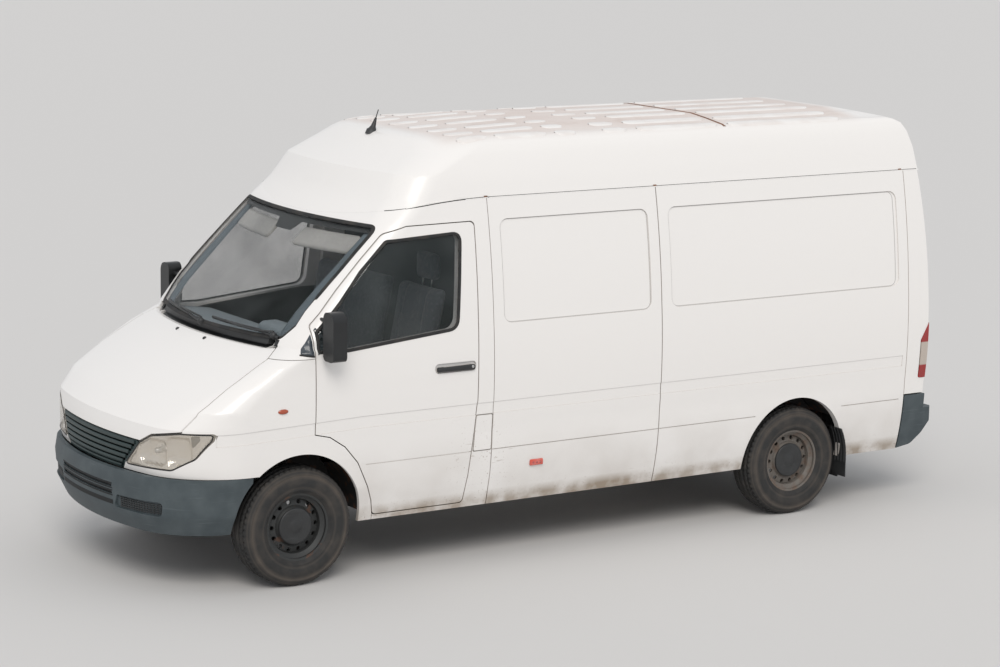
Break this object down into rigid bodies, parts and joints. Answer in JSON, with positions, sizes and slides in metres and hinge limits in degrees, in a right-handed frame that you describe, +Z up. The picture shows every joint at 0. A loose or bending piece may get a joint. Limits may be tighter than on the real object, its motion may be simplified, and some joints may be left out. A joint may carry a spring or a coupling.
{
  "type": "panel van",
  "caption": "High-roof panel van with hinged cab doors, rear doors, bonnet and fuel flap, steered front wheels and wheels that roll.",
  "frame": {"origin": "on the ground, midway between the bumpers and the two sides", "axes": "+X forward, +Y to the left, +Z up"},
  "size_m": [5.608, 2.204, 2.5939],
  "materials": {
    "tyre": "matt",
    "wheel_steel": "worn",
    "glass": "clear",
    "lamp_lens": "clear",
    "tail_lens": "gloss",
    "bumper_plastic": "weathered",
    "black_plastic": "matt",
    "cab_plastic": "grained",
    "seat_cloth": "woven",
    "chassis_metal": "dirty",
    "body_paint": "gloss"
  },
  "bodies": {
    "root": {"aerial": "black_plastic", "bulkhead": "body_paint", "cab_floor": "chassis_metal", "cab_frame": "body_paint", "chassis_rails": "chassis_metal", "cowl": "black_plastic", "dashboard": "cab_plastic", "driver_seat": "seat_cloth", "engine_block": "chassis_metal", "exhaust": "chassis_metal", "front_bumper": "bumper_plastic", "front_subframe": "chassis_metal", "fuel_tank": "chassis_metal", "gearbox": "chassis_metal", "grille": "black_plastic", "headlamps": "lamp_lens", "leaf_springs": "chassis_metal", "load_floor": "chassis_metal", "mud_flaps": "black_plastic", "passenger_bench": "seat_cloth", "propshaft": "chassis_metal", "radiator_panel": "chassis_metal", "rear_axle": "chassis_metal", "rear_bumper": "bumper_plastic", "rear_frame": "body_paint", "roof": "body_paint", "side_panel_left_front": "body_paint", "side_panel_rear_left": "body_paint", "side_panel_rear_right": "body_paint", "sliding_door": "body_paint", "spare_wheel": "tyre", "tail_lamps": "tail_lens", "wheelhouses": "chassis_metal", "windscreen": "glass", "wing_left": "body_paint", "wing_right": "body_paint"},
    "knuckle_left": {"knuckle_left": "chassis_metal"},
    "knuckle_right": {"knuckle_right": "chassis_metal"},
    "wheel_front_left": {"tyre_front_left": "tyre", "rim_front_left": "wheel_steel"},
    "wheel_front_right": {"tyre_front_right": "tyre", "rim_front_right": "wheel_steel"},
    "wheel_rear_left": {"tyre_rear_left": "tyre", "rim_rear_left": "wheel_steel"},
    "wheel_rear_right": {"tyre_rear_right": "tyre", "rim_rear_right": "wheel_steel"},
    "door_left": {"door_left": "body_paint", "door_glass_left": "glass", "mirror_left": "black_plastic"},
    "door_right": {"door_right": "body_paint", "door_glass_right": "glass", "mirror_right": "black_plastic"},
    "rear_door_left": {"rear_door_left": "body_paint"},
    "rear_door_right": {"rear_door_right": "body_paint"},
    "bonnet": {"bonnet": "body_paint"},
    "fuel_flap": {"fuel_flap": "body_paint"},
    "steering_wheel": {"steering_wheel": "cab_plastic"}
  },
  "joints": [
    {"name": "steer_left", "type": "hinge", "parent": "root", "child": "knuckle_left", "pos_m": [1.89, 0.62, 0.345], "axis": [0, 0, 1], "range_deg": [-35, 35]},
    {"name": "steer_right", "type": "hinge", "parent": "root", "child": "knuckle_right", "pos_m": [1.89, -0.62, 0.345], "axis": [0, 0, 1], "range_deg": [-35, 35]},
    {"name": "steering_wheel_turn", "type": "hinge", "parent": "root", "child": "steering_wheel", "pos_m": [1.46, 0.43, 1.29], "axis": [-0.5299, 0, 0.848], "range_deg": [-560, 560]},
    {"name": "spin_front_left", "type": "hinge", "parent": "knuckle_left", "child": "wheel_front_left", "pos_m": [1.89, 0.815, 0.345], "axis": [0, 1, 0], "continuous": true},
    {"name": "spin_front_right", "type": "hinge", "parent": "knuckle_right", "child": "wheel_front_right", "pos_m": [1.89, -0.815, 0.345], "axis": [0, 1, 0], "continuous": true},
    {"name": "spin_rear_left", "type": "hinge", "parent": "root", "child": "wheel_rear_left", "pos_m": [-1.66, 0.815, 0.345], "axis": [0, 1, 0], "continuous": true},
    {"name": "spin_rear_right", "type": "hinge", "parent": "root", "child": "wheel_rear_right", "pos_m": [-1.66, -0.815, 0.345], "axis": [0, 1, 0], "continuous": true},
    {"name": "door_left_swing", "type": "hinge", "parent": "root", "child": "door_left", "pos_m": [1.814, 0.9635, 1], "axis": [0, 0, -1], "range_deg": [0, 68]},
    {"name": "door_right_swing", "type": "hinge", "parent": "root", "child": "door_right", "pos_m": [1.814, -0.9635, 1], "axis": [0, 0, 1], "range_deg": [0, 68]},
    {"name": "rear_door_left_swing", "type": "hinge", "parent": "root", "child": "rear_door_left", "pos_m": [-2.718, 0.781, 1.4], "axis": [0, 0, -1], "range_deg": [0, 180]},
    {"name": "rear_door_right_swing", "type": "hinge", "parent": "root", "child": "rear_door_right", "pos_m": [-2.718, -0.781, 1.4], "axis": [0, 0, 1], "range_deg": [0, 180]},
    {"name": "bonnet_lift", "type": "hinge", "parent": "root", "child": "bonnet", "pos_m": [1.91, 0, 1.385], "axis": [0, -1, 0], "range_deg": [0, 50]},
    {"name": "fuel_flap_swing", "type": "hinge", "parent": "root", "child": "fuel_flap", "pos_m": [0.6245, 0.956, 0.78], "axis": [0, 0, 1], "range_deg": [0, 95]}
  ],
  "couplings": [
    {"joint": "steer_right", "follows": "steer_left", "ratio": 1},
    {"joint": "steering_wheel_turn", "follows": "steer_left", "ratio": 16}
  ]
}
